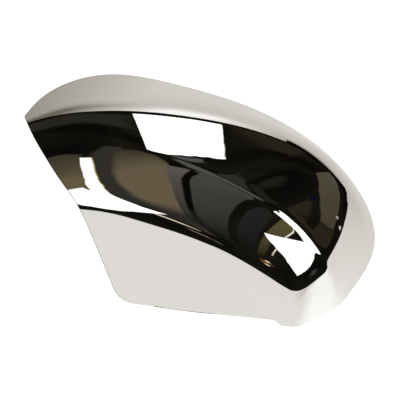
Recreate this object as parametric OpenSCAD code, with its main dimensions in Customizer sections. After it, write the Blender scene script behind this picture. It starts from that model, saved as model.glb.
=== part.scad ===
// Wing mirror cover: a one-piece moulded and plated shell, open below and at its cut end.
// The rim stands on z = 0 with the dome up. +X runs from the cut end to the outer tip,
// and +Y points to the upper rim.

/* [Overall size] */
// Length in plan, from the cut end's upper corner to the outer tip
cover_length = 240; // [210:1:280]
// Width in plan, from the lower rim to the upper rim
cover_width = 144.5; // [125:0.5:165]
// Height of the face's highest point above the rim
cover_depth = 85; // [70:1:105]

/* [Shell] */
// Wall thickness
wall = 2.5; // [1.8:0.1:3.2]
// Reach of the lower shoulder's rounding, to each side of its line
lower_shoulder_reach = 8; // [5:0.5:12]
// Reach of the upper shoulder's rounding, to each side of its line
upper_shoulder_reach = 10; // [6:0.5:14]
// Reach of the crease's rounding where it is sharpest
crease_reach = 1.2; // [1:0.1:3]

/* [Rim] */
// Height of the raised stretch of the lower rim, from the cut end to the step
raised_rim = 6; // [3:0.5:10]
// Where the lower rim steps down to the base, along x
step_x = 70.5; // [60:0.5:74]
// Length of that step along x
step_run = 5; // [3:0.5:8]
// Corner radius at the lower end of the cut
lower_corner_r = 11; // [6:0.5:14]
// Corner radius at the upper end of the cut
upper_corner_r = 9; // [4:0.5:12]

/* [Clips] */
// Width of a clip's plate
clip_w = 14; // [10:1:20]
// Thickness of a clip's plate
clip_t = 2; // [1.5:0.1:3]
// Gap between the upper wall's rim and a clip's plate
clip_gap = 6; // [4:0.5:9]
// Gap between the lower wall's rim and a clip's plate, wider where the wall leans more
low_clip_gap = 14; // [10:0.5:18]
// Height of a clip's foot above the rim
clip_lift = 8; // [4:0.5:14]
// How far a clip's nose stands out from its plate
nose = 2; // [1:0.1:3]
// Height of a clip's nose
nose_h = 5; // [3:0.5:8]
// Thickness of the ribs that carry the clips and the pegs
rib_t = 1.6; // [1:0.1:2.4]

/* [Locating pegs] */
// Radius of a peg
peg_r = 3; // [2:0.1:4]
// Free length of a peg, below its thicker root
peg_free = 16; // [10:1:20]
// Radius of a peg's root
peg_root_r = 5; // [4.5:0.1:7]
// Distance between the two pegs along x
peg_pitch = 80; // [60:1:100]
// Place of the pegs' line across the cover
peg_y = 4; // [-6:0.5:12]
// Height of a peg's tip above the rim
peg_tip_z = 42; // [34:1:50]
// Reach of a peg's ribs from its axis
peg_rib_reach = 10; // [8:0.5:13]

/* [Hidden] */
// Size of the form that the guide points draw, and the middle of its plan
drawn_size = [240, 144.5, 85];
drawn_middle = [0.15, -1.63, 0];
// Guide points, from the cut end to the tip
lower_rim = [
    [-27, -80, 0], [-10, -77, 0], [12, -75, 0], [33, -71, 0],
    [53, -67, 0], [68, -64, 0], [80, -62.5, 0], [86, -60.5, 0]
];
lower_shoulder = [
    [-66.5, -20, 81], [-46, -15.5, 82], [-23, -16.5, 80], [3, -19, 77],
    [29, -25, 70], [53, -33, 58], [84, -45, 40], [90, -58, 0]
];
crease = [
    [-95, 2, 87], [-68, 19, 89], [-40, 24, 88], [-9, 23, 85],
    [27, 16, 78], [67, 5, 64], [97.5, -22, 46], [106.5, -44, 0]
];
upper_shoulder = [
    [-113.5, 24, 72], [-91, 41.5, 72], [-57, 50.5, 72], [-18, 56.5, 69],
    [25, 59, 64], [74, 53, 57], [107.5, 20, 47], [110.5, -37, 0]
];
upper_rim = [
    [-120.7, 25, 0], [-111.5, 46, 0], [-76, 69.5, 0], [-25, 71, 0],
    [29, 70, 0], [87, 51, 0], [128, 9, 0], [112.5, -31, 0]
];
// Crease rounding along the guides, in multiples of its sharpest
crease_softness = [16, 14, 7, 3, 1.3, 1, 1.3, 3.5];
// Upper shoulder rounding along the guides, in multiples of its reach: tighter at the cut end
brow_softness = [0.6, 1, 1, 1, 1, 1, 1, 1];
// Distance over which the wall turns from level at the rim to square with the skin
rim_turn = 6;
// Grid: columns by region along the cover, and rows in each span across it
corner_columns = 6;
flank_columns = 38;
step_columns = 5;
tip_columns = 22;
span_rows = [2, 2, 3, 3, 4, 3, 3, 2, 2];
// The skin's direction is read this far inside its edges, as a share of the grid
edge_inset = 0.02;
floor_z = -1;
// Every how many columns the room under the wall takes a cross-section
room_step = 2;
// Places of the clips along the guides
low_clips = [0.22, 0.6];
high_clips = [0.2, 0.45, 0.7];
// Flat of a clip's nose: where it starts and ends, as shares of the nose's height
nose_flat = [0.6, 0.8];
// Chamfer at a peg's tip
peg_chamfer = 0.8;
// Facets round a peg
peg_facets = 48;

// Weights of a uniform cubic B-spline and their slopes, at f from 0 to 1 in one span
function weights(f) = [(1 - f)^3, 3*f^3 - 6*f^2 + 4, -3*f^3 + 3*f^2 + 3*f + 1, f^3] / 6;
function weight_slopes(f) = [-(1 - f)^2, 3*f^2 - 4*f, -3*f^2 + 2*f + 1, f^2] / 2;
// A control row with one more point past each end, so that the curve meets both ends
function open_row(p) = let (n = len(p)) [2*p[0] - p[1], each p, 2*p[n - 1] - p[n - 2]];
// Point, or slope, at t from 0 to 1 along an opened row
function along(q, t, slope = false) =
    let (
        spans = len(q) - 3,
        s = max(0, min(1, t)) * spans,
        i = min(floor(s), spans - 1),
        w = slope ? weight_slopes(s - i) : weights(s - i)
    )
    w * [q[i], q[i + 1], q[i + 2], q[i + 3]];

function unit(a) = a / norm(a);
function ease(t) = let (c = max(0, min(1, t))) c * c * (3 - 2 * c);
size = [cover_length, cover_width, cover_depth];
function fitted(guide) = [for (p = guide) [for (i = [0:2]) (p[i] - drawn_middle[i]) * size[i] / drawn_size[i]]];
// Point at a given distance from a towards b, at most near their middle
function towards(a, b, d) = a + unit(b - a) * min(d, 0.45 * norm(b - a));
function shifted(a, b, d) = [for (i = [0:len(a) - 1]) towards(a[i], b[i], is_list(d) ? d[i] : d)];

// Control rows from the lower rim to the upper rim, each opened along the cover
low = fitted(lower_rim);
shoulder = fitted(lower_shoulder);
ridge = fitted(crease);
brow = fitted(upper_shoulder);
high = fitted(upper_rim);
ridge_reach = crease_reach * crease_softness;
brow_reach = upper_shoulder_reach * brow_softness;
rows = [for (row = [
    low,
    (low + shoulder) / 2,
    shifted(shoulder, low, lower_shoulder_reach),
    shifted(shoulder, ridge, lower_shoulder_reach),
    shifted(ridge, shoulder, ridge_reach),
    shifted(ridge, brow, ridge_reach),
    shifted(brow, ridge, brow_reach),
    shifted(brow, high, brow_reach),
    (brow + high) / 2,
    high
]) open_row(row)];
low_edge = rows[0];
high_edge = rows[len(rows) - 1];
spans = len(rows) - 1;
first_bend = 2 / spans;
last_bend = 1 - first_bend;

// One cross-section of the outer skin, as an opened control row, and its slope along the cover
function section(u) = open_row([for (row = rows) along(row, u)]);
function section_slope(u) = open_row([for (row = rows) along(row, u, true)]);

// Place along the guides where the lower rim reaches a given x
function u_at(x, lo = 0, hi = 1, steps = 18) =
    let (mid = (lo + hi) / 2)
    steps == 0 ? mid
    : along(low_edge, mid)[0] < x ? u_at(x, mid, hi, steps - 1)
    : u_at(x, lo, mid, steps - 1);
// Place across a section, between its rim and a bend, where it reaches a given height
function v_at(q, z, rim, bend, steps = 18) =
    let (mid = (rim + bend) / 2)
    steps == 0 ? mid
    : along(q, mid)[2] < z ? v_at(q, z, mid, bend, steps - 1)
    : v_at(q, z, rim, mid, steps - 1);

// Height of the trimmed rim: a rounded corner at the cut, and the raised stretch below
function corner_rise(s, r) = s >= r ? 0 : r - sqrt(r^2 - (r - s)^2);
function low_trim(u) =
    let (x = along(low_edge, u)[0], s = x - low[0][0])
    raised_rim * (1 - ease((x - step_x) / step_run)) + corner_rise(s, lower_corner_r);
function high_trim(u) = corner_rise(norm(along(high_edge, u) - high[0]), upper_corner_r);

// Grid places along the cover, closer together at the corner and the step
function spread(a, b, n) = [for (i = [0:n - 1]) a + (b - a) * i / n];
columns = concat(
    [for (i = [0:corner_columns - 1])
        u_at(low[0][0] + lower_corner_r * (1 - cos(90 * i / corner_columns)))],
    spread(u_at(low[0][0] + lower_corner_r), u_at(step_x), flank_columns),
    spread(u_at(step_x), u_at(step_x + step_run), step_columns),
    spread(u_at(step_x + step_run), 1, tip_columns),
    [1]
);
crossings = [for (s = [0:spans - 1]) for (i = [0:span_rows[s] - 1]) (s + i / span_rows[s]) / spans, 1];

// Points of one cross-section, sunk below the outer skin by a depth. Near the rim the
// wall is sunk level, so that the edge of every skin lies at the rim's own height.
function ring(u, depth) =
    let (
        q = section(u),
        inner_u = min(u, 1 - edge_inset),
        inner_q = section(inner_u),
        inner_dq = section_slope(inner_u),
        low_z = low_trim(u),
        high_z = high_trim(u),
        low_v = low_z < 0.001 ? 0 : v_at(q, low_z, 0, first_bend),
        high_v = high_z < 0.001 ? 1 : v_at(q, high_z, 1, last_bend)
    )
    [for (t = crossings)
        let (
            v = t < first_bend ? low_v + t * (first_bend - low_v) / first_bend
                : t > last_bend ? high_v - (1 - t) * (high_v - last_bend) / (1 - last_bend)
                : t,
            p = along(q, v),
            inner_v = max(edge_inset, min(1 - edge_inset, v)),
            n = unit(cross(along(inner_dq, inner_v), along(inner_q, inner_v, true))),
            rim_z = t < 0.5 ? low_z : high_z,
            level = 1 - ease((p[2] - rim_z) / rim_turn),
            e = unit([n[0], n[1], n[2] * (1 - level)])
        )
        p - e * depth / (e * n)
    ];

// Closed solid between two grids of the same size, the first one outside
module slab(top, bottom) {
    rings = len(top);
    wide = len(top[0]);
    points = [for (grid = [top, bottom]) for (r = grid) for (p = r) p];
    function at(side, i, j) = (side * rings + i) * wide + j;
    function skin(side) = [
        for (i = [0:rings - 2]) for (j = [0:wide - 2])
            let (a = at(side, i, j), b = at(side, i + 1, j), c = at(side, i + 1, j + 1), d = at(side, i, j + 1))
            each side == 0 ? [[a, c, b], [a, d, c]] : [[a, b, c], [a, c, d]]
    ];
    function edge(path) = [
        for (k = [0:len(path) - 2])
            let (a = path[k], b = path[k + 1], c = b + rings * wide, d = a + rings * wide)
            each [[a, b, c], [a, c, d]]
    ];
    border = [
        for (i = [0:rings - 1]) at(0, i, 0),
        for (j = [1:wide - 1]) at(0, rings - 1, j),
        for (i = [rings - 2:-1:0]) at(0, i, wide - 1),
        for (j = [wide - 2:-1:0]) at(0, 0, j)
    ];
    polyhedron(points, concat(skin(0), skin(1), edge(border)), convexity = 10);
}

module shell() {
    slab([for (u = columns) ring(u, 0)], [for (u = columns) ring(u, wall)]);
}

// Room under the middle of the wall. It cuts the tops of the fittings, so they end in the wall.
module room() {
    middle = [for (i = [0:room_step:len(columns) - 1]) ring(columns[i], wall / 2)];
    slab(middle, [for (r = middle) [for (p = r) [p[0], p[1], floor_z]]]);
}

// Puts its children at the inner edge of the rim, with +Y inwards and z from the rim
module at_rim(u, high_side) {
    outer = ring(u, 0);
    inner = ring(u, wall);
    k = high_side ? len(outer) - 1 : 0;
    inward = inner[k] - outer[k];
    translate(inner[k]) rotate([0, 0, atan2(inward[1], inward[0]) - 90]) children();
}

// Clip: a plate on two ribs, with a nose across its foot
module clip(gap) {
    translate([-clip_w / 2, gap, clip_lift]) cube([clip_w, clip_t, cover_depth]);
    for (side = [-1, 1])
        translate([side * (clip_w - rib_t) / 2 - rib_t / 2, -wall, clip_lift])
            cube([rib_t, gap + wall + clip_t / 2, cover_depth]);
    translate([-clip_w / 2, gap + clip_t, clip_lift])
        rotate([90, 0, 90])
            linear_extrude(clip_w)
                polygon([
                    [-clip_t / 2, 0], [0, 0], [nose, nose_h * nose_flat[0]],
                    [nose, nose_h * nose_flat[1]], [0, nose_h], [-clip_t / 2, nose_h]
                ]);
}

// Locating peg: a turned pin with a chamfered tip, on a thicker root with four ribs
module peg() {
    root_z = peg_chamfer + peg_free;
    cylinder(h = peg_chamfer, r1 = peg_r - peg_chamfer, r2 = peg_r, $fn = peg_facets);
    translate([0, 0, peg_chamfer]) cylinder(h = peg_free + peg_chamfer, r = peg_r, $fn = peg_facets);
    translate([0, 0, root_z]) {
        cylinder(h = cover_depth, r = peg_root_r, $fn = peg_facets);
        for (turn = [0, 90])
            rotate([0, 0, turn])
                translate([-peg_rib_reach, -rib_t / 2, 0]) cube([2 * peg_rib_reach, rib_t, cover_depth]);
    }
}

module fittings() {
    for (u = low_clips) at_rim(u, false) clip(low_clip_gap);
    for (u = high_clips) at_rim(u, true) clip(clip_gap);
    for (side = [-1, 1]) translate([side * peg_pitch / 2, peg_y, peg_tip_z]) peg();
}

module cover() {
    color("silver") union() {
        shell();
        intersection() {
            fittings();
            room();
        }
    }
}

cover();
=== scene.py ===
import math
import bmesh
import bpy
import numpy as np
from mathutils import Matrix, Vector


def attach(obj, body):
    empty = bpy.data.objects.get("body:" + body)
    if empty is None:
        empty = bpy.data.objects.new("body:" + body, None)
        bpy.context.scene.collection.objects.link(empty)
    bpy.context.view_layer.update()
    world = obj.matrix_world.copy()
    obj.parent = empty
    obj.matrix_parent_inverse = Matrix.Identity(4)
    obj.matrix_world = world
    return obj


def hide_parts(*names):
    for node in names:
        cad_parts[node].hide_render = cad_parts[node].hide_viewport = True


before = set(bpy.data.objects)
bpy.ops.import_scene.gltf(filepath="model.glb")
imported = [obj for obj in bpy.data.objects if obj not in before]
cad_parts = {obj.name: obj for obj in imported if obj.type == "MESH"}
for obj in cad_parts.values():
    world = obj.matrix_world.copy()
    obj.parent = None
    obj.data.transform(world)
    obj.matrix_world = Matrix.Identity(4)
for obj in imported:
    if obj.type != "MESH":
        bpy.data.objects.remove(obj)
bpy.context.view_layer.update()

mm = 0.001


# colours are written as sRGB hex and turned to linear here
def linear(hexColour):
    channels = [int(hexColour[i:i + 2], 16) / 255 for i in (1, 3, 5)]
    return [c / 12.92 if c <= 0.04045 else ((c + 0.055) / 1.055) ** 2.4 for c in channels] + [1.0]


# one node with its settings, the values of its inputs and the sockets that feed them
def addNode(tree, kind, settings=None, values=None, links=None):
    node = tree.nodes.new(kind)
    for name, value in (settings or {}).items():
        setattr(node, name, value)
    for socket, value in (values or {}).items():
        node.inputs[socket].default_value = value
    for socket, source in (links or {}).items():
        tree.links.new(source, node.inputs[socket])
    return node


def emptyMaterial(name):
    material = bpy.data.materials.new(name)
    material.use_nodes = True
    material.node_tree.nodes.clear()
    return material, material.node_tree


def addObject(name, mesh, materials=()):
    piece = bpy.data.objects.new(name, mesh)
    bpy.context.scene.collection.objects.link(piece)
    for material in materials:
        mesh.materials.append(material)
    return piece


# moulded skin: its guide points run from the cut end to the outer tip, in millimetres
skin = {
    "wall": 2.5,
    "lowerShoulderReach": 8.0,
    "upperShoulderReach": [6, 10, 10, 10, 10, 10, 10, 10],
    "creaseReach": [19, 17, 8.4, 3.6, 1.6, 1.2, 1.6, 4.2],
    "raisedRim": 6.0,
    "stepX": 70.5,
    "stepRun": 5.0,
    "lowerCornerRadius": 11.0,
    "upperCornerRadius": 9.0,
    "leastTrim": 0.001,
    "rimTurn": 6.0,  # the wall turns from level at the rim to square with the skin over this height
    "edgeInset": 0.02,  # the skin's direction is read this far inside its edges
    "mostReach": 0.45,  # share of the way to the next guide that a rounding may take
    "cornerShare": 0.4,  # both corners lie within this share of the guides
    "halvings": 22,
    "outerEdgeRadius": 0.7,
    "outerEdgeAngles": (15, 30, 45, 60, 75, 90),
    "innerEdgeRadius": 0.3,
    "innerEdgeAngles": (0, 30, 60),
    "columns": 320,
    "spanRows": [8, 12, 18, 12, 20, 12, 22, 14, 8],
    "edgeRows": [0.012, 0.03, 0.06],  # more rows beside each rim, in spans, so its rounding shades true
    "middle": (0.15, -1.63, 0),  # of the plan that the guides draw
    "lowerRim": [
        (-27, -80, 0), (-10, -77, 0), (12, -75, 0), (33, -71, 0),
        (53, -67, 0), (68, -64, 0), (80, -62.5, 0), (86, -60.5, 0),
    ],
    "lowerShoulder": [
        (-66.5, -20, 81), (-46, -15.5, 82), (-23, -16.5, 80), (3, -19, 77),
        (29, -25, 70), (53, -33, 58), (84, -45, 40), (90, -58, 0),
    ],
    "crease": [
        (-95, 2, 87), (-68, 19, 89), (-40, 24, 88), (-9, 23, 85),
        (27, 16, 78), (67, 5, 64), (97.5, -22, 46), (106.5, -44, 0),
    ],
    "upperShoulder": [
        (-113.5, 24, 72), (-91, 41.5, 72), (-57, 50.5, 72), (-18, 56.5, 69),
        (25, 59, 64), (74, 53, 57), (107.5, 20, 47), (110.5, -37, 0),
    ],
    "upperRim": [
        (-120.7, 25, 0), (-111.5, 46, 0), (-76, 69.5, 0), (-25, 71, 0),
        (29, 70, 0), (87, 51, 0), (128, 9, 0), (112.5, -31, 0),
    ],
}


def unit(a):
    return a / np.linalg.norm(a, axis=-1, keepdims=True)


def ease(t):
    c = np.clip(t, 0, 1)
    return c * c * (3 - 2 * c)


def towards(a, b, distance):  # points a moved towards points b
    run = b - a
    most = skin["mostReach"] * np.linalg.norm(run, axis=1)
    return a + unit(run) * np.minimum(np.full_like(most, 1) * distance, most)[:, None]


def opened(points, axis):  # one more point past each end, so the curve meets both ends
    p = np.moveaxis(points, axis, 0)
    return np.moveaxis(np.concatenate([[2 * p[0] - p[1]], p, [2 * p[-1] - p[-2]]]), 0, axis)


def controlNet():
    names = ("lowerRim", "lowerShoulder", "crease", "upperShoulder", "upperRim")
    low, shoulder, ridge, brow, high = (np.array(skin[name], float) - skin["middle"] for name in names)
    ridgeReach = np.array(skin["creaseReach"])
    browReach = np.array(skin["upperShoulderReach"], float)
    rows = [
        low,
        (low + shoulder) / 2,
        towards(shoulder, low, skin["lowerShoulderReach"]),
        towards(shoulder, ridge, skin["lowerShoulderReach"]),
        towards(ridge, shoulder, ridgeReach),
        towards(ridge, brow, ridgeReach),
        towards(brow, ridge, browReach),
        towards(brow, high, browReach),
        (brow + high) / 2,
        high,
    ]
    return opened(opened(np.array(rows), 0), 1)


net = controlNet()
spansAcross = net.shape[0] - 3
spansAlong = net.shape[1] - 3
firstBend = 2 / spansAcross
lastBend = 1 - firstBend


def weights(t, spans, slope):  # uniform cubic B-spline
    s = np.clip(t, 0, 1) * spans
    first = np.minimum(s.astype(int), spans - 1)
    f = s - first
    if slope:
        return first, np.stack([-(1 - f)**2, 3*f*f - 4*f, -3*f*f + 2*f + 1, f*f], -1) / 2
    return first, np.stack([(1 - f)**3, 3*f**3 - 6*f*f + 4, -3*f**3 + 3*f*f + 3*f + 1, f**3], -1) / 6


def skinAt(u, v, slopeU=False, slopeV=False):
    iu, wu = weights(u, spansAlong, slopeU)
    iv, wv = weights(v, spansAcross, slopeV)
    return sum(
        net[iv + a, iu + b] * (wv[..., a] * wu[..., b])[..., None] for a in range(4) for b in range(4)
    )


def solve(start, end, isBelow):  # halves the way between two arrays of places until it meets the target
    low, high = start, end
    for _ in range(skin["halvings"]):
        middle = (low + high) / 2
        below = isBelow(middle)
        low = np.where(below, middle, low)
        high = np.where(below, high, middle)
    return (low + high) / 2


def vAtHeight(u, z, rim, bend):
    return solve(np.full_like(u, rim), np.full_like(u, bend), lambda v: skinAt(u, v)[..., 2] < z)


def lowRun(u):  # how far the lower rim has come from the cut end, along x
    return skinAt(u, np.zeros_like(u))[..., 0] - net[1, 1, 0]


def highRun(u):  # how far the upper rim has come from the cut end
    return np.linalg.norm(skinAt(u, np.ones_like(u)) - net[-2, 1], axis=-1)


def lowTrim(u):
    x = skinAt(u, np.zeros_like(u))[..., 0]
    return skin["raisedRim"] * (1 - ease((x - skin["stepX"]) / skin["stepRun"]))


# bends a square corner of the grid to an arc, by the usual mapping of a square to a disc
def roundCorner(u, v, isNear, run, rise, trim, radius, rim, bend):
    near = isNear & (run(u) < radius) & (rise < radius)
    p = (radius - run(u)[near]) / radius
    q = (radius - rise[near]) / radius
    newRun = radius * (1 - p * np.sqrt(1 - q * q / 2))
    newRise = radius * (1 - q * np.sqrt(1 - p * p / 2))
    farthest = np.full_like(newRun, skin["cornerShare"])
    u[near] = solve(np.zeros_like(newRun), farthest, lambda place: run(place) < newRun)
    v[near] = vAtHeight(u[near], trim + newRise, rim, bend)


def gridPlaces():
    along = np.linspace(0, 1, skin["columns"] + 1)
    inSpans = [i + np.arange(k) / k for i, k in enumerate(skin["spanRows"])]
    beside = np.array(skin["edgeRows"])
    across = np.sort(np.concatenate([*inSpans, [spansAcross], beside, spansAcross - beside]))
    u, t = (a.copy() for a in np.meshgrid(along, across / spansAcross, indexing="ij"))
    trim = lowTrim(u)
    isUntrimmed = trim < skin["leastTrim"]
    lowV = np.where(isUntrimmed, 0, vAtHeight(u, trim, 0, firstBend))
    v = np.where(t < firstBend, lowV + t * (firstBend - lowV) / firstBend, t)
    height = skinAt(u, v)[..., 2]
    roundCorner(u, v, t < 0.5, lowRun, height - skin["raisedRim"], skin["raisedRim"],
                skin["lowerCornerRadius"], 0, firstBend)
    roundCorner(u, v, t > 0.5, highRun, height, 0, skin["upperCornerRadius"], 1, lastBend)
    return u, v, t


def skinNormal(u, v):
    inset = skin["edgeInset"]
    un = np.minimum(u, 1 - inset)
    vn = np.clip(v, inset, 1 - inset)
    return unit(np.cross(skinAt(un, vn, slopeU=True), skinAt(un, vn, slopeV=True)))


def sunkSkin(u, v, t, depth):  # the skin moved in by a depth: square to itself, and level beside its rims
    normal = skinNormal(u, v)
    point = skinAt(u, v)
    rimHeight = np.where(t < 0.5, lowTrim(u), 0)
    level = 1 - ease((point[..., 2] - rimHeight) / skin["rimTurn"])
    way = normal.copy()
    way[..., 2] *= 1 - level
    way = unit(way)
    return point - way * depth / np.sum(way * normal, -1, keepdims=True)


def border(grid):  # the grid's outline as one closed loop
    return np.concatenate([grid[:-1, 0], grid[-1, :-1], grid[:0:-1, -1], grid[0, :0:-1]])


def setBorder(grid, loop):
    n, m = grid.shape[0] - 1, grid.shape[1] - 1
    parts = np.split(loop, [n, n + m, 2 * n + m])
    grid[:-1, 0], grid[-1, :-1], grid[:0:-1, -1], grid[0, :0:-1] = parts


def skinFaces(shape, loopCount):  # faces of two skins and of the loops that join their edges
    count = shape[0] * shape[1]
    ids = np.arange(count).reshape(shape)
    top = np.stack([ids[:-1, :-1], ids[1:, :-1], ids[1:, 1:], ids[:-1, 1:]], -1).reshape(-1, 4)
    ringIds = border(ids)
    size = len(ringIds)
    between = [2 * count + i * size + np.arange(size) for i in range(loopCount)]
    rings = [ringIds, *between, ringIds + count]
    edge = [np.stack([a, b, np.roll(b, -1), np.roll(a, -1)], -1) for a, b in zip(rings, rings[1:])]
    return np.concatenate([top, (top + count)[:, ::-1]] + edge), len(top)


def closedMesh(name, outer, inner, loops=()):
    faces, topCount = skinFaces(outer.shape[:2], len(loops))
    points = np.concatenate([outer.reshape(-1, 3), inner.reshape(-1, 3), *loops]) * mm
    mesh = bpy.data.meshes.new(name)
    mesh.from_pydata(points.tolist(), [], faces.tolist())
    isInside = np.zeros(len(faces), np.int32)
    isInside[topCount:2 * topCount] = 1
    mesh.polygons.foreach_set("material_index", isInside)
    mesh.polygons.foreach_set("use_smooth", np.ones(len(faces), bool))
    return mesh


# rounds the shell's open edge on both sides, and sinks both borders to meet it
def edgeLoops(outer, inner, normals):
    edge, innerEdge = border(outer), border(inner)
    through = unit(innerEdge - edge)
    into = unit(np.cross(border(normals), np.roll(edge, -1, 0) - np.roll(edge, 1, 0)))
    loops = []
    r = skin["outerEdgeRadius"]
    for angle in np.radians(skin["outerEdgeAngles"]):
        loops.append(edge + into * r * (1 - math.sin(angle)) + through * r * (1 - math.cos(angle)))
    setBorder(outer, edge + into * r)
    r = skin["innerEdgeRadius"]
    for angle in np.radians(skin["innerEdgeAngles"]):
        loops.append(innerEdge + into * r * (1 - math.cos(angle)) - through * r * (1 - math.sin(angle)))
    setBorder(inner, innerEdge + into * r)
    return loops


# what the chrome mirrors follows the skin itself, not its facets
def setTrueNormals(mesh, u, v, normals):
    inset = skin["edgeInset"]
    isClear = (u < 1 - inset) & (v > inset) & (v < 1 - inset)
    known = np.zeros((len(mesh.vertices), 3))  # zero leaves a vertex the normal of its faces
    known[:u.size] = (normals * isClear[..., None]).reshape(-1, 3)
    mesh.normals_split_custom_set_from_vertices(known.tolist())


def makeShell(materials):
    u, v, t = gridPlaces()
    outer = sunkSkin(u, v, t, 0)
    inner = sunkSkin(u, v, t, skin["wall"])
    normals = skinNormal(u, v)
    loops = edgeLoops(outer, inner, normals)
    mesh = closedMesh("coverShell", outer, inner, loops)
    setTrueNormals(mesh, u, v, normals)
    check = bmesh.new()
    check.from_mesh(mesh)
    volume = check.calc_volume(signed=True) / (10 * mm) ** 3
    print("shell:", len(mesh.polygons), "faces, volume", round(volume, 1), "cm3")
    check.free()
    return addObject("cover_shell", mesh, materials)


# electroplated chrome on moulded ABS: a clear mirror, with the faint long waves of a plated moulding
def polishedChrome():
    material, tree = emptyMaterial("polishedChrome")
    waves = {"length": 28.0, "detail": 1.0, "height": 0.003}  # millimetres
    haze = {"length": 9.0, "detail": 4.0, "low": 0.004, "high": 0.014}
    place = addNode(tree, "ShaderNodeTexCoord")
    swell = addNode(tree, "ShaderNodeTexNoise",
                    values={"Scale": 1 / (waves["length"] * mm), "Detail": waves["detail"]},
                    links={"Vector": place.outputs["Object"]})
    wavy = addNode(tree, "ShaderNodeBump", values={"Strength": 1.0, "Distance": waves["height"] * mm},
                   links={"Height": swell.outputs["Fac"]})
    cloud = addNode(tree, "ShaderNodeTexNoise",
                    values={"Scale": 1 / (haze["length"] * mm), "Detail": haze["detail"]},
                    links={"Vector": place.outputs["Object"]})
    rough = addNode(tree, "ShaderNodeMapRange", values={"To Min": haze["low"], "To Max": haze["high"]},
                    links={"Value": cloud.outputs["Fac"]})
    shader = addNode(tree, "ShaderNodeBsdfPrincipled",
                     values={"Metallic": 1.0, "Base Color": linear("#e3e2df")},
                     links={"Roughness": rough.outputs["Result"], "Normal": wavy.outputs["Normal"]})
    addNode(tree, "ShaderNodeOutputMaterial", links={"Surface": shader.outputs["BSDF"]})
    return material


# thin plating on the unpolished inside: the same metal, but satin, with cloudy patches and a moulded grain
def satinPlating():
    material, tree = emptyMaterial("satinPlating")
    grain = {"length": 0.6, "detail": 2.0, "height": 0.02}  # millimetres
    patches = {"length": 18.0, "detail": 5.0, "spread": (0.3, 0.7), "low": 0.3, "high": 0.52}
    tones = {"dull": "#a3a29d", "bright": "#c6c5c1"}
    place = addNode(tree, "ShaderNodeTexCoord")
    cloud = addNode(tree, "ShaderNodeTexNoise",
                    values={"Scale": 1 / (patches["length"] * mm), "Detail": patches["detail"]},
                    links={"Vector": place.outputs["Object"]})
    rough = addNode(tree, "ShaderNodeMapRange", values={
        "From Min": patches["spread"][0], "From Max": patches["spread"][1],
        "To Min": patches["low"], "To Max": patches["high"],
    }, links={"Value": cloud.outputs["Fac"]})
    tone = addNode(tree, "ShaderNodeMix", {"data_type": "RGBA"},
                   {6: linear(tones["bright"]), 7: linear(tones["dull"])}, {0: cloud.outputs["Fac"]})
    mould = addNode(tree, "ShaderNodeTexNoise",
                    values={"Scale": 1 / (grain["length"] * mm), "Detail": grain["detail"]},
                    links={"Vector": place.outputs["Object"]})
    rugged = addNode(tree, "ShaderNodeBump", values={"Strength": 1.0, "Distance": grain["height"] * mm},
                     links={"Height": mould.outputs["Fac"]})
    shader = addNode(tree, "ShaderNodeBsdfPrincipled", values={"Metallic": 1.0}, links={
        "Base Color": tone.outputs[2],
        "Roughness": rough.outputs["Result"],
        "Normal": rugged.outputs["Normal"],
    })
    addNode(tree, "ShaderNodeOutputMaterial", links={"Surface": shader.outputs["BSDF"]})
    return material


chrome = polishedChrome()
plating = satinPlating()
cover = makeShell([chrome, plating])

# fittings inside: clips along both rims and two locating pegs, in millimetres
fitting = {
    "clipWidth": 14.0,
    "clipThickness": 2.0,
    "highClipGap": 6.0,  # from the rim's inner edge to the plate
    "lowClipGap": 14.0,
    "clipLift": 8.0,
    "nose": 2.0,
    "noseHeight": 5.0,
    "noseFlat": (0.6, 0.8),
    "ribThickness": 1.6,
    "lowClips": (0.22, 0.6),  # places along the guides
    "highClips": (0.2, 0.45, 0.7),
    "pegRadius": 3.0,
    "pegFree": 16.0,
    "pegChamfer": 0.8,
    "pegRootRadius": 5.0,
    "pegPitch": 80.0,
    "pegY": 4.0,
    "pegTip": 42.0,
    "pegRibReach": 10.0,
    "pegRibs": 4,
    "pegFacets": 64,
    "softEdge": 0.25,
    "softSteps": 2,
    "mergeReach": 1e-6,  # metres
    "sharpAngle": 35.0,  # edges that turn by more than this show as sharp
    "top": 95.0,  # above the whole face: the room under the wall cuts it off
    "roomStep": 5,  # columns of the skin's grid for each column of the room
    "roomFloor": -1.0,
}


def makeRoomUnderWall():  # a closed block up to the middle of the wall
    u, v, t = (a[::fitting["roomStep"]] for a in gridPlaces())
    middle = sunkSkin(u, v, t, skin["wall"] / 2)
    below = middle.copy()
    below[..., 2] = fitting["roomFloor"]
    return addObject("roomUnderWall", closedMesh("roomUnderWall", middle, below))


def addPrism(build, outline, run):  # outline and run in millimetres, edges eased
    first = [build.verts.new(Vector(p) * mm) for p in outline]
    last = [build.verts.new((Vector(p) + Vector(run)) * mm) for p in outline]
    n = len(outline)
    faces = [build.faces.new(first[::-1]), build.faces.new(last)]
    faces += [build.faces.new((first[i], first[(i + 1) % n], last[(i + 1) % n], last[i])) for i in range(n)]
    edges = {edge for face in faces for edge in face.edges}
    bmesh.ops.bevel(build, geom=list(edges), offset=fitting["softEdge"] * mm, segments=fitting["softSteps"],
                    affect="EDGES")


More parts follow.
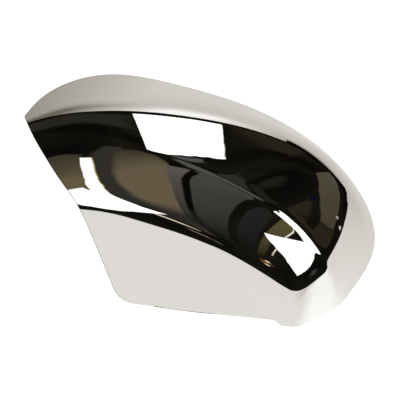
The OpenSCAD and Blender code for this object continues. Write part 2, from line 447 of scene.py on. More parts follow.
def makeClip(name, gap):  # a plate on two ribs, with a nose across its foot
    half = fitting["clipWidth"] / 2
    rib = fitting["ribThickness"]
    back = gap + fitting["clipThickness"]
    lift = fitting["clipLift"]
    build = bmesh.new()
    addPrism(build, [
        (-half, -skin["wall"], lift), (-half + rib, -skin["wall"], lift), (-half + rib, gap, lift),
        (half - rib, gap, lift), (half - rib, -skin["wall"], lift), (half, -skin["wall"], lift),
        (half, back, lift), (-half, back, lift),
    ], (0, 0, fitting["top"] - lift))
    inset = fitting["clipThickness"] / 2
    low, high = (lift + fitting["noseHeight"] * share for share in fitting["noseFlat"])
    addPrism(build, [
        (-half, back - inset, lift), (-half, back, lift), (-half, back + fitting["nose"], low),
        (-half, back + fitting["nose"], high), (-half, back, lift + fitting["noseHeight"]),
        (-half, back - inset, lift + fitting["noseHeight"]),
    ], (2 * half, 0, 0))
    bmesh.ops.recalc_face_normals(build, faces=build.faces)
    mesh = bpy.data.meshes.new(name)
    build.to_mesh(mesh)
    build.free()
    return addObject(name, mesh)


def makePin():  # turned profile: chamfered tip, free pin and the thicker root
    r = fitting["pegRadius"]
    tip = fitting["pegTip"]
    rootLevel = tip + fitting["pegChamfer"] + fitting["pegFree"]
    chamfer = fitting["pegChamfer"]
    soft = fitting["softEdge"]
    root = fitting["pegRootRadius"]
    profile = [
        (0, tip), (r - chamfer - soft, tip), (r - chamfer, tip + soft / 2), (r, tip + chamfer),
        (r, rootLevel), (root - soft, rootLevel), (root, rootLevel + soft),
        (root, fitting["top"]), (0, fitting["top"]),
    ]
    build = bmesh.new()
    verts = [build.verts.new((a * mm, 0, z * mm)) for a, z in profile]
    edges = [build.edges.new(pair) for pair in zip(verts, verts[1:])]
    bmesh.ops.spin(build, geom=verts + edges, axis=(0, 0, 1), cent=(0, 0, 0), angle=2 * math.pi,
                   steps=fitting["pegFacets"], use_merge=True)
    bmesh.ops.remove_doubles(build, verts=build.verts, dist=fitting["mergeReach"])
    bmesh.ops.recalc_face_normals(build, faces=build.faces)
    mesh = bpy.data.meshes.new("pin")
    build.to_mesh(mesh)
    build.free()
    return addObject("pin", mesh)


def addInputs(tree, inputs):  # a node group's named inputs, after its geometry
    tree.interface.new_socket("Geometry", in_out="INPUT", socket_type="NodeSocketGeometry")
    for name, kind in inputs.items():
        tree.interface.new_socket(name, in_out="INPUT", socket_type="NodeSocket" + kind)
    tree.interface.new_socket("Geometry", in_out="OUTPUT", socket_type="NodeSocketGeometry")


def ribStar():  # ribs turned evenly about the z axis, joined to the geometry that comes in
    tree = bpy.data.node_groups.new("ribStar", "GeometryNodeTree")
    addInputs(tree, {
        "Count": "Int", "Reach": "Float", "Thickness": "Float", "Bottom": "Float", "Top": "Float",
    })
    given = addNode(tree, "NodeGroupInput").outputs
    height = addNode(tree, "ShaderNodeMath", {"operation": "SUBTRACT"},
                     links={0: given["Top"], 1: given["Bottom"]})
    middle = addNode(tree, "ShaderNodeMath", {"operation": "MULTIPLY_ADD"}, {1: 0.5},
                     {0: height.outputs[0], 2: given["Bottom"]})
    halfReach = addNode(tree, "ShaderNodeMath", {"operation": "MULTIPLY"}, {1: 0.5}, {0: given["Reach"]})
    size = addNode(tree, "ShaderNodeCombineXYZ",
                   links={"X": given["Reach"], "Y": given["Thickness"], "Z": height.outputs[0]})
    shift = addNode(tree, "ShaderNodeCombineXYZ", links={"X": halfReach.outputs[0], "Z": middle.outputs[0]})
    rib = addNode(tree, "GeometryNodeMeshCube", links={"Size": size.outputs[0]})
    placed = addNode(tree, "GeometryNodeTransform",
                     links={"Geometry": rib.outputs[0], "Translation": shift.outputs[0]})
    points = addNode(tree, "GeometryNodePoints", links={"Count": given["Count"]})
    index = addNode(tree, "GeometryNodeInputIndex")
    step = addNode(tree, "ShaderNodeMath", {"operation": "DIVIDE"}, {0: 2 * math.pi}, {1: given["Count"]})
    turn = addNode(tree, "ShaderNodeMath", {"operation": "MULTIPLY"},
                   links={0: index.outputs[0], 1: step.outputs[0]})
    rotation = addNode(tree, "ShaderNodeCombineXYZ", links={"Z": turn.outputs[0]})
    star = addNode(tree, "GeometryNodeInstanceOnPoints", links={
        "Points": points.outputs[0], "Instance": placed.outputs[0], "Rotation": rotation.outputs[0],
    })
    both = addNode(tree, "GeometryNodeJoinGeometry", links={0: star.outputs[0]})
    tree.links.new(given["Geometry"], both.inputs[0])
    real = addNode(tree, "GeometryNodeRealizeInstances", links={0: both.outputs[0]})
    addNode(tree, "NodeGroupOutput", links={0: real.outputs[0]})
    return tree


def setInRoom():  # one fitting on each point, turned by the point's value and cut off inside the wall
    tree = bpy.data.node_groups.new("setInRoom", "GeometryNodeTree")
    addInputs(tree, {"Fitting": "Object", "Room": "Object", "Finish": "Material"})
    given = addNode(tree, "NodeGroupInput").outputs
    shape = addNode(tree, "GeometryNodeObjectInfo", links={"Object": given["Fitting"]})
    inside = addNode(tree, "GeometryNodeObjectInfo", links={"Object": given["Room"]})
    turn = addNode(tree, "GeometryNodeInputNamedAttribute", {"data_type": "FLOAT"}, {"Name": "turn"})
    rotation = addNode(tree, "ShaderNodeCombineXYZ", links={"Z": turn.outputs[0]})
    placed = addNode(tree, "GeometryNodeInstanceOnPoints", links={
        "Points": given["Geometry"], "Instance": shape.outputs["Geometry"], "Rotation": rotation.outputs[0],
    })
    real = addNode(tree, "GeometryNodeRealizeInstances", links={0: placed.outputs[0]})
    cut = addNode(tree, "GeometryNodeMeshBoolean", {"operation": "INTERSECT", "solver": "EXACT"},
                  {"Self Intersection": True}, {"Mesh 2": real.outputs[0]})
    tree.links.new(inside.outputs["Geometry"], cut.inputs["Mesh 2"])
    painted = addNode(tree, "GeometryNodeSetMaterial",
                      links={"Geometry": cut.outputs["Mesh"], "Material": given["Finish"]})
    addNode(tree, "NodeGroupOutput", links={0: painted.outputs[0]})
    return tree


def grown(piece, tree, values):  # runs a node group on the piece and keeps the result as its plain mesh
    modifier = piece.modifiers.new("grow", "NODES")
    modifier.node_group = tree
    for item in tree.interface.items_tree:
        if item.in_out == "INPUT" and item.name in values:
            modifier[item.identifier] = values[item.name]
    view = bpy.context.evaluated_depsgraph_get()
    mesh = bpy.data.meshes.new_from_object(piece.evaluated_get(view))
    piece.modifiers.remove(modifier)
    piece.data = mesh
    return piece


def clipPlaces(ups, isHigh):  # the rim's inner edge at each place, and the way inwards there
    u = np.array(ups, float)
    v = np.ones_like(u) if isHigh else vAtHeight(u, lowTrim(u), 0, firstBend)
    edge = sunkSkin(u, v, v, 0)
    inner = sunkSkin(u, v, v, skin["wall"])
    inwards = inner - edge
    return inner, np.arctan2(inwards[:, 1], inwards[:, 0]) - math.pi / 2


def placesObject(name, points, turns):
    mesh = bpy.data.meshes.new(name)
    mesh.from_pydata((np.array(points) * mm).tolist(), [], [])
    mesh.attributes.new("turn", "FLOAT", "POINT").data.foreach_set("value", np.array(turns, np.float32))
    return addObject(name, mesh)


def finishFitting(piece):
    mesh = piece.data
    mesh.polygons.foreach_set("use_smooth", np.ones(len(mesh.polygons), bool))
    mesh.set_sharp_from_angle(angle=math.radians(fitting["sharpAngle"]))
    return piece


def makeFittings():
    inside = makeRoomUnderWall()
    pin = makePin()
    grown(pin, ribStar(), {
        "Count": fitting["pegRibs"], "Reach": fitting["pegRibReach"] * mm,
        "Thickness": fitting["ribThickness"] * mm, "Top": fitting["top"] * mm,
        "Bottom": (fitting["pegTip"] + fitting["pegChamfer"] + fitting["pegFree"]) * mm,
    })
    lowClip = makeClip("lowClip", fitting["lowClipGap"])
    highClip = makeClip("highClip", fitting["highClipGap"])
    side = fitting["pegPitch"] / 2
    sets = [
        ("cover_pegs", pin, [(-side, fitting["pegY"], 0), (side, fitting["pegY"], 0)], [0, 0]),
        ("cover_low_clips", lowClip, *clipPlaces(fitting["lowClips"], False)),
        ("cover_high_clips", highClip, *clipPlaces(fitting["highClips"], True)),
    ]
    tree = setInRoom()
    pieces = []
    for name, shape, points, turns in sets:
        values = {"Fitting": shape, "Room": inside, "Finish": plating}
        pieces.append(finishFitting(grown(placesObject(name, points, turns), tree, values)))
        print(name, len(pieces[-1].data.polygons), "faces")
    for helper in (pin, lowClip, highClip, inside):
        bpy.data.objects.remove(helper)
    return pieces


fittings = makeFittings()

# camera: it looks straight down and is rolled, so the cover lies slanting in the frame
camera = {
    "height": 1.2,
    "centre": (3.15 * mm, 3.73 * mm),
    "roll": 15.0,
    "frameWidth": 0.2588,  # width of the view on the floor
    "sensor": 36.0,
    "nearest": 0.05,
    "farthest": 100.0,
}
lens = bpy.data.cameras.new("camera")
lens.sensor_width = camera["sensor"]
lens.lens = camera["sensor"] * camera["height"] / camera["frameWidth"]
lens.clip_start = camera["nearest"]
lens.clip_end = camera["farthest"]
eye = bpy.data.objects.new("camera", lens)
eye.location = (*camera["centre"], camera["height"])
eye.rotation_euler = (0, 0, math.radians(camera["roll"]))
bpy.context.scene.collection.objects.link(eye)
bpy.context.scene.camera = eye
print("camera: height", camera["height"], "lens", round(lens.lens, 1))

# room: what the chrome mirrors, a dark dome with cards hung in it. A card's outline is in degrees from
# straight up, to the right and up in the picture, so (0, 0) is overhead and 90 away lies the horizon.
# Its distance is in metres, and near cards shift against far ones from one place of the chrome to another.
room = {
    "layerStep": 0.02,  # share of its distance by which a card of a higher layer hangs nearer
    "cardCuts": 5,
    "mitreLimit": 0.4,
    "domeRadius": 13.0,
    "domeSegments": 96,
    "domeRings": 48,
    "darkest": "#0a0908",
    "dark": "#17150f",
    "cloud": 3.0,  # metres
    "cloudDetail": 3.0,
    "cloudSpread": (0.35, 0.65),
    "mirrorGain": 1.3,  # makes up for what the chrome swallows
}
plainCard = {  # what a card has where its own entry says nothing
    "strength": room["mirrorGain"], "distance": 12.0, "layer": 1, "soft": 0.3,
    "other": None, "fade": None,
}
# each card glows in the tone the chrome shows there: a painted reflection of the room's light and shade,
# its windows, lamps, lit and shaded walls, glints, sheens and dark gaps
cards = {
    "doorEdge": {"colour": "#2f2d28", "soft": 1.0, "outline": [
        (-11, 13), (-9, 17), (-5, 17), (-3.5, 8), (-1, -4), (2, -16), (3, -30), (3, -38), (-2, -42),
        (-5.5, -41), (-5, -30), (-6.5, -12), (-9.5, 3),
    ]},
    "leftWall": {"colour": "#3b372c", "other": "#625740", "fade": (-14, 13, -9, -6), "layer": 2,
        "soft": 0.8, "outline": [
        (-22, 13), (-14.5, 14.4), (-12.5, 13), (-11.5, 9), (-9, 0), (-7, -9), (-5.8, -20), (-5, -30),
        (-6, -33), (-14, -34), (-24, -10),
    ]},
    "rightWall": {"colour": "#363229", "other": "#625845", "fade": (-1, 14, 1, -8), "layer": 2,
        "soft": 1.2, "outline": [
        (-7, 14), (0, 15), (5, 10), (6.9, 0), (6.7, -6), (6.5, -13.5), (7, -19), (6.5, -27), (5.6, -34.5),
        (4, -38), (-2, -38), (-0.5, -28), (-1, -20), (-2.2, -12), (-4.5, -2), (-6.4, 6),
    ]},
    "wallFoot": {"colour": "#2b2a26", "layer": 3, "soft": 7.0, "outline": [
        (-4, -36), (8, -32), (8, -48), (-4, -48),
    ]},
    "panelGap": {"colour": "#0a0908", "layer": 3, "soft": 0.4, "outline": [
        (11.9, -5), (14.5, -6), (14.4, -8.5), (11.6, -13), (10.6, -16), (10.6, -21), (9.7, -32),
        (10, -42), (14, -50), (8, -50), (6.3, -42), (7.6, -32), (8.3, -21), (8.3, -15), (9.4, -11.6),
        (11.4, -7.4),
    ]},
    "lightEdge": {"colour": "#57544f", "other": "#1a1a1b", "fade": (8, -8, 6.5, -38), "layer": 4,
        "soft": 0.5, "outline": [
        (6, -4.5), (12.6, -5), (12, -7), (9.8, -11.8), (8.7, -15), (8.6, -21), (7.8, -32), (6.6, -41),
        (5.2, -38), (5.1, -34), (6, -27), (6.5, -19), (6, -13.5),
    ]},
    "doorPanel": {"colour": "#43423e", "other": "#1a1917", "fade": (14, -16, 15, -43),
        "soft": 0.5, "outline": [
        (14, -4), (20, -1), (31, -14), (27, -21.5), (22.4, -25.3), (20.6, -29.3), (19, -38), (17.5, -48),
        (9, -48), (9.4, -32), (10.2, -21), (10.1, -15.8), (11.3, -12.8), (14.2, -8),
    ]},
    "ridgeSheen": {"colour": "#4e4d47", "soft": 2.0, "outline": [
        (11, 11), (15, 15), (24, 11), (33, 3), (38, -6), (34, -12), (24, -3), (14, 0),
    ]},
    "sidePanel": {"colour": "#222221", "other": "#151412", "fade": (27, -28, 22, -46),
        "soft": 0.5, "outline": [
        (29.6, -25.5), (25, -28), (23.6, -31.5), (22.3, -39), (21.2, -47), (23.5, -51), (26.2, -46),
        (27.6, -39), (28.8, -32),
    ]},
    "jamb": {"colour": "#544c30", "other": "#221e14", "fade": (32, -31, 26.4, -46), "distance": 0.53,
        "soft": 0.4, "outline": [
        (33.3, -26), (34.4, -29.7), (33.6, -32.5), (32.1, -35), (30.9, -35.2), (30.2, -38), (29.4, -41.5),
        (27.4, -46.6), (25.3, -49), (25.6, -46.4), (27.4, -42), (28.6, -37.8), (29.4, -34.3),
        (30.2, -31.6), (31.4, -28.6),
    ]},
    "blueThing": {"colour": "#090e1c", "layer": 2, "soft": 0.4, "outline": [
        (49.8, 3.2), (51.2, 2.4), (51.8, 0.8), (51, -0.2), (50.2, 0.6),
    ]},
    "rightWindow": {"colour": "#ffffff", "strength": 1.7, "distance": 0.52, "soft": 0.2, "outline": [
        (32.4, -21.6), (35.3, -17.8), (35.8, -18.4), (37, -17.4), (40.2, -10.5), (42, -12.5), (43, -17),
        (44.6, -20.6), (46.4, -24.4), (49.8, -28.9), (53.7, -33.6), (57, -37.3), (52, -40), (46.6, -41.2),
        (43.4, -42.6), (42.3, -45), (43.2, -48.2), (43.2, -51.4), (41.8, -53.9), (37, -57.6),
        (34.1, -52.3), (31.9, -46.7), (31.1, -42.4), (30.8, -38.6), (29.4, -33), (30.4, -33.9),
        (32.1, -35.2), (34, -36.3), (35.9, -37.1), (35.2, -34.7), (34.7, -31), (33.6, -26.6),
    ]},
    "windowBar": {"colour": "#e2ded6", "distance": 0.51, "soft": 0.06, "outline": [
        (34, -30.4), (34.25, -30.5), (32.2, -35.3), (31.95, -35.2),
    ]},
    "windowSill": {"colour": "#ece8de", "other": "#b0a68c", "fade": (31, -40, 29.5, -44.4),
        "distance": 0.51, "soft": 0.08, "outline": [
        (31, -39.4), (31.16, -39.5), (29.62, -44.4), (29.4, -44.3),
    ]},
    "lampDot": {"colour": "#fff3d8", "distance": 0.51, "soft": 0.25, "outline": [
        (26, -50.4), (26.7, -50.6), (26.6, -51.8), (26, -51.6),
    ]},
    "lampLow": {"colour": "#e9dcc0", "distance": 0.51, "soft": 0.25, "outline": [
        (24, -54.8), (24.8, -55), (24.4, -56.4), (23.8, -56),
    ]},
    "lampGlow": {"colour": "#6b4c2b", "distance": 0.52, "soft": 1.2, "outline": [
        (24.8, -51.4), (26.4, -50.8), (26, -53.8), (24, -55.6), (23.6, -54.4),
    ]},
    "shelfLight": {"colour": "#efe4d0", "other": "#a0947f", "fade": (-6, -54, 0, -54),
        "soft": 0.4, "outline": [
        (-8, -53), (-5, -53.4), (0.6, -53.6), (0.6, -55.3), (-5, -56), (-8, -55.6),
    ]},
    "shelfLow": {"colour": "#6f665a", "soft": 0.6, "outline": [
        (-6.6, -61.4), (-0.8, -61.6), (-0.8, -64.2), (-6.6, -64.4),
    ]},
    "shelfFar": {"colour": "#54504a", "soft": 0.6, "outline": [
        (0.2, -61.5), (3.4, -61.8), (3.4, -65), (0.2, -64.8),
    ]},
    "warmGlow": {"colour": "#483f2d", "soft": 3.0, "outline": [
        (1, -41.5), (6, -39), (11, -38), (11, -44), (7, -51), (2, -49),
    ]},
    "dimThing": {"colour": "#3a3a3c", "soft": 1.5, "outline": [
        (44, -61), (47, -61.5), (47.4, -65), (44.4, -65),
    ]},
    "tubeRim": {"colour": "#c9c48f", "distance": 0.62, "soft": 0.3, "outline": [
        (-15.5, 11.8), (-14.6, 11.3), (-13.2, 6.3), (-10.4, -5.8), (-8.6, -18.2), (-8.6, -28.5),
        (-9, -34), (-10, -28), (-10.5, -18), (-11.6, -6), (-14, 4),
    ]},
    "tubeLight": {"colour": "#ffffff", "strength": 1.7, "distance": 0.61, "soft": 0.2, "outline": [
        (-16.7, 12.2), (-14.8, 11.2), (-13.5, 6.2), (-10.7, -5.9), (-8.9, -18.3), (-8.9, -28.5),
        (-9.2, -33), (-11, -33), (-11.3, -27.2), (-11.4, -23), (-11.6, -19.6), (-12.6, -7.7),
        (-14.3, 1.5), (-15.9, 8.1),
    ]},
    "tubeFoot": {"colour": "#ffffff", "strength": 1.7, "distance": 0.255, "soft": 0.2, "outline": [
        (-22.8, -18.4), (-21.2, -15.8), (-20, -14.7), (-19.1, -19.3), (-18.1, -20.9), (-16.9, -22.1),
        (-15.3, -21.9), (-14.6, -25.7), (-13.5, -29.6), (-12.5, -31.6), (-11.5, -33.8), (-10.1, -34.2),
        (-8.4, -34.3), (-5.9, -33.7), (-9.8, -38), (-13, -42), (-16.3, -46.6), (-19.4, -50.8),
        (-22.9, -56.5), (-23.9, -57.5), (-24.3, -56.3), (-24.8, -54.7), (-25.8, -53.7), (-26.3, -50.6),
    ]},
    "topWindow": {"colour": "#ffffff", "strength": 1.7, "layer": 3, "soft": 0.2, "outline": [
        (9.8, 84.4), (10.6, 76.1), (11.1, 68.5), (10.9, 60.9), (10.4, 54.4), (9.4, 48.1), (8.2, 42),
        (6.8, 35.8), (5.1, 28.2), (3.8, 20.4), (5.3, 18.9), (7.7, 18.8), (11.8, 20.4), (20.1, 31.2),
        (28.3, 38.9), (32.3, 38.6), (35.7, 35.8), (34.9, 38.2), (34.3, 40.9), (33.7, 43.9), (33, 47.6),
        (32.6, 52), (32.3, 57.9), (32.4, 65.8), (32.8, 77.6), (26, 81.4), (19.6, 83), (14, 84),
    ]},
    "farWall": {"colour": "#272520", "soft": 6.0, "outline": [
        (-46, 44), (-24, 44), (-6, 48), (8, 52), (9, 80), (-8, 83), (-28, 79), (-44, 72),
    ]},
    "farWallRight": {"colour": "#262119", "soft": 6.0, "outline": [
        (36, 78), (36, 58), (40, 44), (46, 40), (54, 48), (60, 58), (58, 66),
    ]},
    "streak": {"colour": "#4d4d4c", "soft": 1.2, "outline": [
        (30.5, 37), (28, 36), (23, 31), (16, 24), (12, 20), (14, 18), (19, 20), (25, 26.5), (30.5, 33.5),
    ]},
    "cabinet": {"colour": "#2d2c27", "soft": 0.8, "outline": [
        (28, 13), (33, 21), (39.4, 27), (41.6, 22), (40.2, 14), (38.6, 5.5), (33.5, 6.5),
    ]},
    "cabinetSide": {"colour": "#1f1e19", "soft": 0.8, "outline": [
        (42.2, 20), (44.4, 17), (46, 8), (47.6, 2.5), (44.5, -1), (39.5, -5), (41, 6),
    ]},
    "brownDoor": {"colour": "#4d483d", "other": "#443e31", "fade": (60, 24, 64, -16), "layer": 2,
        "soft": 0.6, "outline": [
        (54.8, 24.2), (63.3, 31.6), (75, 41), (79, 37), (79.5, 28), (74.5, 8), (69, -8), (68, -18),
        (68.6, -22.6), (62, -17.5), (57.1, -12.6), (53.7, -4.1), (52, 6.3),
    ]},
    "doorFoot": {"colour": "#29231b", "soft": 1.2, "outline": [
        (57.4, -13.3), (62.6, -18.4), (69.9, -23.8), (71.3, -27.3), (71.1, -30.9), (59.8, -26.8),
        (55, -22.5), (55.8, -17),
    ]},
    "doorFrame": {"colour": "#292519", "soft": 0.6, "outline": [
        (50, 3), (51.2, -2), (52, -5), (54, -11), (57, -16), (55.5, -18), (51.5, -11), (49.5, -3),
    ]},
    "glintHigh": {"colour": "#b5ae9c", "layer": 3, "soft": 0.4, "outline": [
        (66.8, -14.2), (69, -15.2), (70, -17), (69.2, -17.4), (68, -15.8), (66.8, -15),
    ]},
    "lowRise": {"colour": "#d9d8d6", "soft": 0.3, "outline": [
        (-34, -86), (-24, -87.3), (-20.2, -86.4), (-17.4, -85.3), (-14.5, -84.4), (-10.5, -82.4),
        (-5.7, -81.5), (-0.8, -81.6), (2.8, -82.4), (4.6, -83.9), (6.5, -86.4), (15.3, -87.9), (24, -89),
        (12, -92), (-3, -92.6), (-18, -91),
    ]},
    "rightRise": {"colour": "#d4d2ce", "other": "#c4c3bd", "fade": (80, -35, 88, -2),
        "soft": 0.3, "outline": [
        (90, 0), (88, -2.3), (83, -13.7), (80.1, -21.7), (79.8, -27.5), (80, -32), (79.8, -35),
        (79.2, -37.9), (73, -46.4), (70, -54), (75, -55), (82, -44), (88, -30), (91, -18), (93, -2),
    ]},
    "glintLow": {"colour": "#c9c4b6", "layer": 3, "soft": 0.4, "outline": [
        (73.6, -22.6), (76, -24), (77.2, -26), (76.2, -26.4), (75, -24.8), (73.6, -23.6),
    ]},
}


# glows in its own colour, which fades to another across it and out at its edge: painted light and shade of
# the mirrored room, the fade being painted light falling off across the card
def cardMaterial(name, look):
    material, tree = emptyMaterial(name)
    within = addNode(tree, "ShaderNodeAttribute", {"attribute_name": "within"})
    across = addNode(tree, "ShaderNodeAttribute", {"attribute_name": "across"})
    tone = addNode(tree, "ShaderNodeMix", {"data_type": "RGBA"},
                   {6: linear(look["colour"]), 7: linear(look["other"] or look["colour"])},
                   {0: across.outputs["Fac"]})
    glow = addNode(tree, "ShaderNodeEmission", values={"Strength": look["strength"]},
                   links={"Color": tone.outputs[2]})
    clear = addNode(tree, "ShaderNodeBsdfTransparent")
    both = addNode(tree, "ShaderNodeMixShader",
                   links={0: within.outputs["Fac"], 1: clear.outputs[0], 2: glow.outputs[0]})
    addNode(tree, "ShaderNodeOutputMaterial", links={"Surface": both.outputs[0]})
    material.cycles.emission_sampling = "NONE"
    return material


def onlyMirrored(piece):  # shows in the chrome and nowhere else
    piece.visible_camera = False
    piece.visible_diffuse = False
    piece.visible_shadow = False
    piece.visible_transmission = False


def widened(outline, distance):  # outline moved outwards by a distance
    p = np.array(outline, float)
    edge = unit(np.roll(p, -1, 0) - p)
    area = np.sum(p[:, 0] * np.roll(p[:, 1], -1) - p[:, 1] * np.roll(p[:, 0], -1))
    out = np.stack([edge[:, 1], -edge[:, 0]], -1) * np.sign(area)
    before = np.roll(out, 1, 0)
    mitre = (out + before) / np.maximum(1 + np.sum(out * before, -1, keepdims=True), room["mitreLimit"])
    return p + mitre * distance


def makeCard(name, look):
    build = bmesh.new()
    within = build.verts.layers.float.new("within")
    across = build.verts.layers.float.new("across")
    rings = []
    for share, side in ((1, -1), (0, 1)):
        ring = [build.verts.new((x, y, 0)) for x, y in widened(look["outline"], side * look["soft"] / 2)]
        for vert in ring:
            vert[within] = share
        rings.append(ring)
    inner, outer = rings
    bmesh.ops.triangulate(build, faces=[build.faces.new(inner)])
    for i in range(len(inner)):
        build.faces.new((inner[i - 1], outer[i - 1], outer[i], inner[i]))
    bmesh.ops.subdivide_edges(build, edges=build.edges, cuts=room["cardCuts"], use_grid_fill=True)
    x0, y0, x1, y1 = look["fade"] or (0, 0, 1, 0)
    run = Vector((x1 - x0, y1 - y0))
    roll = math.radians(camera["roll"])
    distance = look["distance"] * (1 - room["layerStep"] * look["layer"])
    for vert in build.verts:
        place = vert.co.to_2d()
        vert[across] = min(1, max(0, (place - Vector((x0, y0))).dot(run) / run.length_squared))
        fromTop = math.radians(place.length)
        around = math.atan2(place.y, place.x) + roll
        vert.co = distance * Vector((
            math.sin(fromTop) * math.cos(around), math.sin(fromTop) * math.sin(around), math.cos(fromTop),
        ))
    mesh = bpy.data.meshes.new(name)
    build.to_mesh(mesh)
    build.free()
    onlyMirrored(addObject(name, mesh, [cardMaterial(name, look)]))


# unlit plaster of a dark room: nearly black, in soft uneven tones
def darkPlaster():
    material, tree = emptyMaterial("darkPlaster")
    place = addNode(tree, "ShaderNodeTexCoord")
    cloud = addNode(tree, "ShaderNodeTexNoise",
                    values={"Scale": 1 / room["cloud"], "Detail": room["cloudDetail"]},
                    links={"Vector": place.outputs["Object"]})
    thin, thick = room["cloudSpread"]
    spread = addNode(tree, "ShaderNodeMapRange", values={"From Min": thin, "From Max": thick},
                     links={"Value": cloud.outputs["Fac"]})
    tone = addNode(tree, "ShaderNodeMix", {"data_type": "RGBA"},
                   {6: linear(room["darkest"]), 7: linear(room["dark"])}, {0: spread.outputs["Result"]})
    glow = addNode(tree, "ShaderNodeEmission", values={"Strength": room["mirrorGain"]},
                   links={"Color": tone.outputs[2]})
    addNode(tree, "ShaderNodeOutputMaterial", links={"Surface": glow.outputs[0]})
    material.cycles.emission_sampling = "NONE"
    return material


def makeDome():
    build = bmesh.new()
    bmesh.ops.create_uvsphere(build, u_segments=room["domeSegments"], v_segments=room["domeRings"],
                              radius=room["domeRadius"])
    mesh = bpy.data.meshes.new("dome")
    build.to_mesh(mesh)
    build.free()
    onlyMirrored(addObject("dome", mesh, [darkPlaster()]))


makeDome()
for name, look in cards.items():
    makeCard(name, {**plainCard, **look})
print("room:", len(cards), "cards")

# floor: a white table to the camera. In the chrome it glows in painted light and shade, whose tone changes
# around the cover by the angle from the picture's right: brightest by the two windows, dim by the dark
# walls. It differs near the cover and far from it. Past the table's reach, in metres, the chrome mirrors
# darkness.
floor = {
    "size": 30.0,
    "tableReach": [
        (-180, 1.4), (-125, 1.4), (-112, 12), (2, 12), (5, 0.94), (10, 0.33), (14, 0.26), (19, 0.33),
        (24, 0.4), (29, 0.46), (34, 0.5), (38, 0.45), (42, 0.38), (48, 0.3), (52, 0.3), (56, 1.8),
        (80, 1.7), (84, 2.2), (90, 3.5), (93, 6), (106, 6), (108, 2.5), (113, 1.3), (117, 0.87),
        (126, 0.34), (140, 0.34), (160, 1.4),
    ],
    "shadow": 0.14,
    "paper": "#bdbdbd",
    "nearReach": 0.13,
    "farReach": 0.34,
    "tones": {
        "sunlit": "#f6f5f3", "light": "#dddbd8", "plain": "#c4c1bc", "shaded": "#a8a39b",
        "dim": "#8a857c", "dusk": "#6a655b", "dark": "#1f1c18",
    },
    # painted tones near the cover: darker than the far ones on the picture's upper side, a painted shadow
    # of the cover
    "near": [
        (-170, "dark"), (-162, "light"), (-52, "light"), (-45, "sunlit"), (-38, "sunlit"), (-30, "light"),
        (0, "plain"), (105, "plain"), (130, "shaded"), (150, "dim"), (160, "dark"),
    ],
    # painted tones far from the cover: painted light by the windows and painted shade by the walls
    "far": [
        (-170, "dark"), (-162, "light"), (-72, "light"), (-60, "plain"), (-50, "sunlit"), (-44, "sunlit"),
        (-36, "light"), (0, "plain"), (25, "shaded"), (46, "dim"), (52, "shaded"), (59, "plain"),
        (67, "light"), (72, "sunlit"), (82, "sunlit"), (86, "light"), (90, "plain"), (98, "shaded"),
        (106, "dim"), (114, "dusk"), (142, "dusk"), (160, "dark"),
    ],
}


def rampAround(tree, angle, stops):  # tones or lengths round the cover, one ramp over the whole turn
    ramp = addNode(tree, "ShaderNodeValToRGB", links={"Fac": angle})
    while len(ramp.color_ramp.elements) < len(stops):
        ramp.color_ramp.elements.new(0.5)
    for element, (degrees, value) in zip(ramp.color_ramp.elements, stops):
        element.position = degrees / 360 + 0.5
        isTone = isinstance(value, str)
        element.color = linear(floor["tones"][value]) if isTone else (value, value, value, 1)
    return ramp.outputs["Color"]
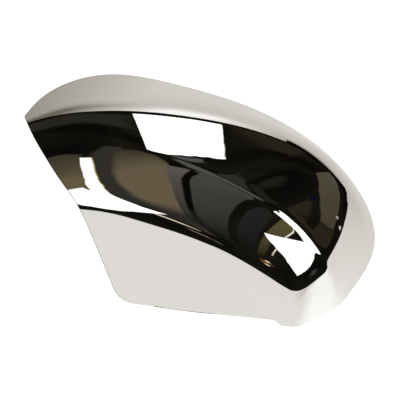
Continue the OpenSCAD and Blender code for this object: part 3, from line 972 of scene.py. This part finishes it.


# matt white table top to the eye; in the chrome it glows in painted light and shade from the tone rings
# round the cover
def whiteTableAndPaintedLight():
    material, tree = emptyMaterial("whiteTableAndPaintedLight")
    path = addNode(tree, "ShaderNodeLightPath").outputs
    place = addNode(tree, "ShaderNodeTexCoord").outputs["Object"]
    xyz = addNode(tree, "ShaderNodeSeparateXYZ", links={0: place}).outputs
    around = addNode(tree, "ShaderNodeMath", {"operation": "ARCTAN2"}, links={0: xyz["Y"], 1: xyz["X"]})
    turned = addNode(tree, "ShaderNodeMath", {"operation": "MULTIPLY_ADD"},
                     {1: 1 / (2 * math.pi), 2: 0.5 - camera["roll"] / 360}, {0: around.outputs[0]})
    share = addNode(tree, "ShaderNodeMath", {"operation": "FRACT"}, links={0: turned.outputs[0]})
    angle = share.outputs[0]
    distance = addNode(tree, "ShaderNodeVectorMath", {"operation": "LENGTH"}, links={0: place})
    reach = distance.outputs["Value"]
    away = addNode(tree, "ShaderNodeMapRange", {"interpolation_type": "SMOOTHSTEP"},
                   {"From Min": floor["nearReach"], "From Max": floor["farReach"]}, {"Value": reach})
    tone = addNode(tree, "ShaderNodeMix", {"data_type": "RGBA"}, links={
        0: away.outputs[0],
        6: rampAround(tree, angle, floor["near"]),
        7: rampAround(tree, angle, floor["far"]),
    })
    onTable = addNode(tree, "ShaderNodeMath", {"operation": "LESS_THAN"},
                      links={0: reach, 1: rampAround(tree, angle, floor["tableReach"])})
    gain = addNode(tree, "ShaderNodeMath", {"operation": "MULTIPLY"}, {1: room["mirrorGain"]},
                   {0: onTable.outputs[0]})
    mirrored = addNode(tree, "ShaderNodeEmission",
                       links={"Color": tone.outputs[2], "Strength": gain.outputs[0]})
    paper = addNode(tree, "ShaderNodeBsdfDiffuse", values={"Color": linear(floor["paper"])})
    white = addNode(tree, "ShaderNodeEmission", values={"Strength": 1 - floor["shadow"]})
    seen = addNode(tree, "ShaderNodeAddShader", links={0: paper.outputs[0], 1: white.outputs[0]})
    direct = addNode(tree, "ShaderNodeMath", {"operation": "MAXIMUM"}, links={
        0: path["Is Camera Ray"], 1: path["Is Transmission Ray"],
    })
    toEye = addNode(tree, "ShaderNodeMixShader",
                    links={0: direct.outputs[0], 1: paper.outputs[0], 2: seen.outputs[0]})
    both = addNode(tree, "ShaderNodeMixShader",
                   links={0: path["Is Glossy Ray"], 1: toEye.outputs[0], 2: mirrored.outputs[0]})
    addNode(tree, "ShaderNodeOutputMaterial", links={"Surface": both.outputs[0]})
    material.cycles.emission_sampling = "NONE"
    return material


def makeFloor():
    half = floor["size"] / 2
    corners = [(-half, -half, 0), (half, -half, 0), (half, half, 0), (-half, half, 0)]
    mesh = bpy.data.meshes.new("floor")
    mesh.from_pydata(corners, [], [(0, 1, 2, 3)])
    addObject("floor", mesh, [whiteTableAndPaintedLight()])
    print("floor:", floor["size"], "m wide")


makeFloor()

# world: a white backdrop to the eye and in mirrors and glass, at half that level as light
sky = {"white": 1.0, "light": 0.5}
world = bpy.data.worlds.new("studio")
bpy.context.scene.world = world
world.use_nodes = True
backdrop = world.node_tree.nodes["Background"]
path = addNode(world.node_tree, "ShaderNodeLightPath").outputs
eyeOrMirror = addNode(world.node_tree, "ShaderNodeMath", {"operation": "ADD"}, links={
    0: path["Is Camera Ray"], 1: path["Is Glossy Ray"],
})
shown = addNode(world.node_tree, "ShaderNodeMath", {"operation": "MAXIMUM"}, links={
    0: eyeOrMirror.outputs[0], 1: path["Is Transmission Ray"],
})
level = addNode(world.node_tree, "ShaderNodeMapRange",
                values={"To Min": sky["light"], "To Max": sky["white"]},
                links={"Value": shown.outputs[0]})
backdrop.inputs["Color"].default_value = linear("#ffffff")
world.node_tree.links.new(level.outputs[0], backdrop.inputs["Strength"])

# soft lamps, which the chrome doesn't mirror; places and sizes in metres
lamps = {
    "softKey": {"place": (-0.6, -1.0, 1.6), "size": 1.2, "watts": 14},
    "softFill": {"place": (1.0, 0.8, 1.4), "size": 1.2, "watts": 6},
}
for name, look in lamps.items():
    light = bpy.data.lights.new(name, "AREA")
    light.size = look["size"]
    light.energy = look["watts"]
    lamp = bpy.data.objects.new(name, light)
    lamp.location = look["place"]
    lamp.rotation_euler = (-Vector(look["place"])).to_track_quat("-Z", "Y").to_euler()
    lamp.visible_glossy = False
    bpy.context.scene.collection.objects.link(lamp)
print("lamps:", len(lamps))

bpy.context.scene.view_settings.view_transform = "Standard"

for piece in [cover] + fittings:
    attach(piece, "root")
    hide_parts("cover")
